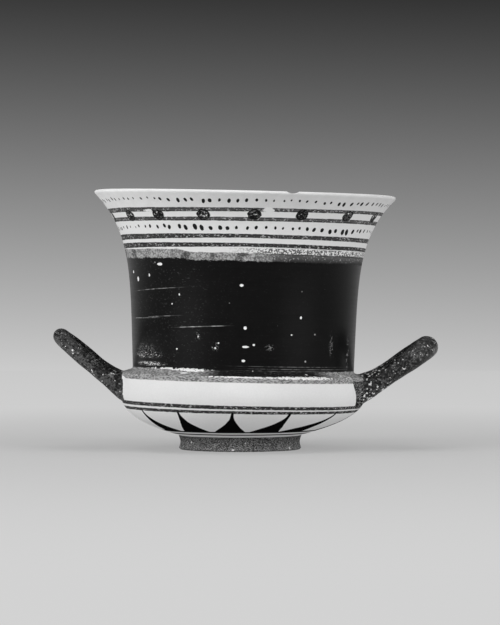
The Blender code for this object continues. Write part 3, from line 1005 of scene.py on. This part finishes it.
def loop_gloss():
    paint = Paint("loop_gloss")
    cloud = paint.noise(0.22, 4.0)
    fine = paint.noise(1.1, 5.0, offset=2.0)
    right = paint.smooth(paint.x, -1.0, 1.0)
    out = paint.radius - SHOULDER_RADIUS / MM
    left_arm = paint.height - LEFT_HEIGHT / MM - out * math.tan(LEFT_CANT)
    right_arm = paint.height - RIGHT_HEIGHT / MM - out * math.tan(RIGHT_CANT)
    above = paint.mix(left_arm, right_arm, right)  # how high over the arms' middle
    near_root = paint.under(paint.radius, 73.0, 8.0) & right
    tone = GLOSS * 1.4 + paint.smooth(fine, 0.4, 0.75) * 0.07
    worn = paint.noise(0.24, 5.0, offset=3.0) + (fine - 0.5) * 0.8 + right * 0.02
    # The left loop's lower side is painted lighter along with the wear: a painted reflection of the
    # bright floor along the arm's underside
    worn = worn + paint.under(above, -2.4, 1.6) * paint.flip(right) * 0.16
    worn = paint.smooth(worn, 0.56, 0.67)
    tone = paint.mix(tone, FADED * (0.3 + fine), worn * 0.7)
    rubbed_top = paint.noise(0.6, 5.0, offset=6.0) + paint.smooth(paint.radius, 84.0, 95.0) * 0.08
    tone = paint.mix(tone, FADED * 1.8, paint.smooth(rubbed_top, 0.6, 0.68) * 0.75)
    edges = paint.smooth(paint.math("ABSOLUTE", above), 2.4, 4.4)
    flakes = paint.specks(3.4, 0.5, 0.14, 4.0)
    chipped = paint.noise(0.75, 5.0, offset=5.0) + near_root * (0.04 + edges * 0.05)
    flakes = flakes | paint.smooth(chipped, 0.65, 0.67)
    tone = paint.mix(tone, SLIP * 1.05, flakes)
    roughness = paint.mix(0.3 + cloud * 0.15, 0.65, worn | flakes)
    return paint.finish(tone, roughness, cloud * 0.3 + fine * 0.16 - flakes * 0.25, 0.6, 0.25)


def bare_underside():
    paint = Paint("bare_underside")
    cloud = paint.noise(0.12, 4.0)
    grain = paint.noise(1.5, 4.0, offset=2.0)
    turning = paint.math("SINE", paint.radius * 5.2 + cloud * 3.0)
    tone = CLAY * (0.8 + cloud * 0.3 + grain * 0.2)
    ring = paint.band(paint.radius + (grain - 0.5) * 0.5, *UNDERSIDE_RING, 0.2)
    tone = paint.mix(tone, FADED * 0.3, ring * 0.85)
    rest = paint.under(paint.height, 0.4, 0.2) * paint.smooth(grain, 0.4, 0.6)
    tone = paint.mix(tone, SLIP * 0.8, rest * 0.6)
    return paint.finish(tone, 0.72, turning * 0.05 + grain * 0.08, 0.5, 0.3)


# Stage

FLOOR_TONE = 0.49
# The floor's own share of brightness is a painted glow, which also lightens the cup's shadows on it
FLOOR_GLOW = 0.48  # share of the floor's brightness that is its own, where the cup stands
FLOOR_BLEND = (0.06, 0.60)  # how far from the cup the rest fades into the backdrop's glow
STAGE_REACH = 1.7
STAGE_HEIGHT = 1.2
ARC_STEPS = 48
LIT_HEIGHT = 0.06  # of the place that every light looks at
BACKDROP_GREY = 198.2  # of the backdrop at the floor, on a scale of 255
BACKDROP_SLOPE = (12.0, 0.0, 335.0)  # how much darker it is a metre to the right, back and up
FLOOR_GREY = 206.0
FLOOR_SLOPE = (4.0, 4.6, 0.0)


def sheet(name, rows, material):
    form = bmesh.new()
    rings = [[form.verts.new(place) for place in row] for row in rows]
    for lower, upper in zip(rings, rings[1:]):
        for step in range(len(lower) - 1):
            form.faces.new((lower[step], lower[step + 1], upper[step + 1], upper[step]))
    made = new_piece(name, form)
    made.data.materials.append(material)
    return made


def arc(start, end, height):
    """Places along the backdrop at a height, with bearings in degrees from the back."""
    places = []
    for step in range(ARC_STEPS + 1):
        angle = math.radians(start + (end - start) * step / ARC_STEPS)
        places.append((STAGE_REACH * math.sin(angle), STAGE_REACH * math.cos(angle), height))
    return places


def glowing(tree, grey, falls):
    """A glow of a grey that darkens evenly along each axis."""
    place = new_node(tree, "TexCoord", {}).outputs["Object"]
    fed = {0: place, 1: [fall / 255.0 for fall in falls]}
    fallen = new_node(tree, "VectorMath", fed, operation="DOT_PRODUCT").outputs["Value"]
    shade = new_node(tree, "Math", {0: grey / 255.0, 1: fallen}, operation="SUBTRACT").outputs[0]
    shade = new_node(tree, "Math", {0: shade, 1: 0.1}, operation="MAXIMUM").outputs[0]
    shade = new_node(tree, "Math", {0: shade, 1: 2.2}, operation="POWER").outputs[0]
    return new_node(tree, "Emission", {"Strength": shade}).outputs[0]


def floor_material():
    """A pale matt floor that fades into the backdrop's glow away from the cup."""
    material = bpy.data.materials.new("pale_floor")
    material.use_nodes = True
    tree = material.node_tree
    shader = tree.nodes["Principled BSDF"]
    tone = (FLOOR_TONE, FLOOR_TONE, FLOOR_TONE, 1.0)
    feed(tree, shader, {"Base Color": tone, "Roughness": 0.9, "Specular IOR Level": 0.1})
    place = new_node(tree, "TexCoord", {}).outputs["Object"]
    far = new_node(tree, "VectorMath", {0: place}, operation="LENGTH").outputs["Value"]
    near_end, far_end = FLOOR_BLEND
    fed = {"Value": far, "From Min": near_end, "From Max": far_end, "To Min": FLOOR_GLOW}
    share = new_node(tree, "MapRange", fed, interpolation_type="SMOOTHSTEP").outputs[0]
    blend = new_node(tree, "MixShader", {0: share, 1: shader.outputs[0]})
    feed(tree, blend, {2: glowing(tree, FLOOR_GREY, FLOOR_SLOPE)})
    feed(tree, tree.nodes["Material Output"], {"Surface": blend.outputs[0]})
    return material


def backdrop_material():
    """Paper as a painted glow rather than lit: a painted falloff of light that darkens evenly with
    height and to the right.
    """
    material = bpy.data.materials.new("fading_backdrop")
    material.use_nodes = True
    tree = material.node_tree
    tree.nodes.clear()
    output = tree.nodes.new("ShaderNodeOutputMaterial")
    tree.links.new(glowing(tree, BACKDROP_GREY, BACKDROP_SLOPE), output.inputs[0])
    return material


def make_stage():
    half = STAGE_REACH
    rows = [[(-half, y, 0.0), (half, y, 0.0)] for y in (-half, half)]
    sheet("floor", rows, floor_material())
    paper = backdrop_material()
    sheet("backdrop", [arc(-45, 45, 0.0), arc(-45, 45, STAGE_HEIGHT)], paper)
    around = sheet("backdrop_front", [arc(45, 315, 0.0), arc(45, 315, STAGE_HEIGHT)], paper)
    around.visible_glossy = False
    around.visible_diffuse = False


def soft_light(name, place, size, watts, shines=True):
    data = bpy.data.lights.new(name, "AREA")
    data.shape = "RECTANGLE"
    data.size, data.size_y = size
    data.energy = watts
    light = bpy.data.objects.new(name, data)
    light.location = place
    towards = Vector((0.0, 0.0, LIT_HEIGHT)) - Vector(place)
    light.rotation_euler = towards.to_track_quat("-Z", "Y").to_euler()
    light.visible_glossy = shines
    bpy.context.scene.collection.objects.link(light)


def make_lights():
    soft_light("left_light", (-1.15, -0.75, 0.5), (0.8, 0.8), 11.5)
    soft_light("right_light", (1.15, -0.75, 0.5), (0.8, 0.8), 9.5)
    soft_light("top_light", (0.0, -0.2, 1.4), (1.2, 1.2), 9.5)
    soft_light("front_fill", (-0.2, -1.7, 0.14), (1.8, 0.25), 19.0, shines=False)
    world = bpy.data.worlds.new("studio")
    world.use_nodes = True
    shader = world.node_tree.nodes["Background"]
    shader.inputs["Color"].default_value = (1.0, 1.0, 1.0, 1.0)
    shader.inputs["Strength"].default_value = 0.22
    bpy.context.scene.world = world
    bpy.context.scene.view_settings.view_transform = "Standard"


def make_camera(foot_x):
    data = bpy.data.cameras.new("camera")
    data.sensor_width = SENSOR
    data.lens = SENSOR * (CAMERA_DISTANCE / PIXEL) / max(PHOTO_SIZE)
    camera = bpy.data.objects.new("camera", data)
    across = (PHOTO_MIDDLE[0] - FOOT_ON_PHOTO[0]) * PIXEL
    up = (FOOT_ON_PHOTO[1] - PHOTO_MIDDLE[1]) * PIXEL
    camera.location = (foot_x + across, -CAMERA_DISTANCE, up)
    camera.rotation_euler = (math.pi / 2, 0.0, 0.0)
    bpy.context.scene.collection.objects.link(camera)
    bpy.context.scene.camera = camera


cup, foot_x = make_cup()
wall_paint = painted_outside()
bowl_paint = wall_paint.copy()
bowl_paint.name = "painted_bowl"
bowl_shader = bowl_paint.node_tree.nodes["Principled BSDF"]
bowl_shader.inputs["Specular IOR Level"].default_value = BOWL_MIRROR
for paint_layer in (wall_paint, bowl_paint, black_inside(), loop_gloss(), bare_underside()):
    cup.data.materials.append(paint_layer)
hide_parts("cup")
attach(cup, "root")
make_stage()
make_lights()
make_camera(foot_x)
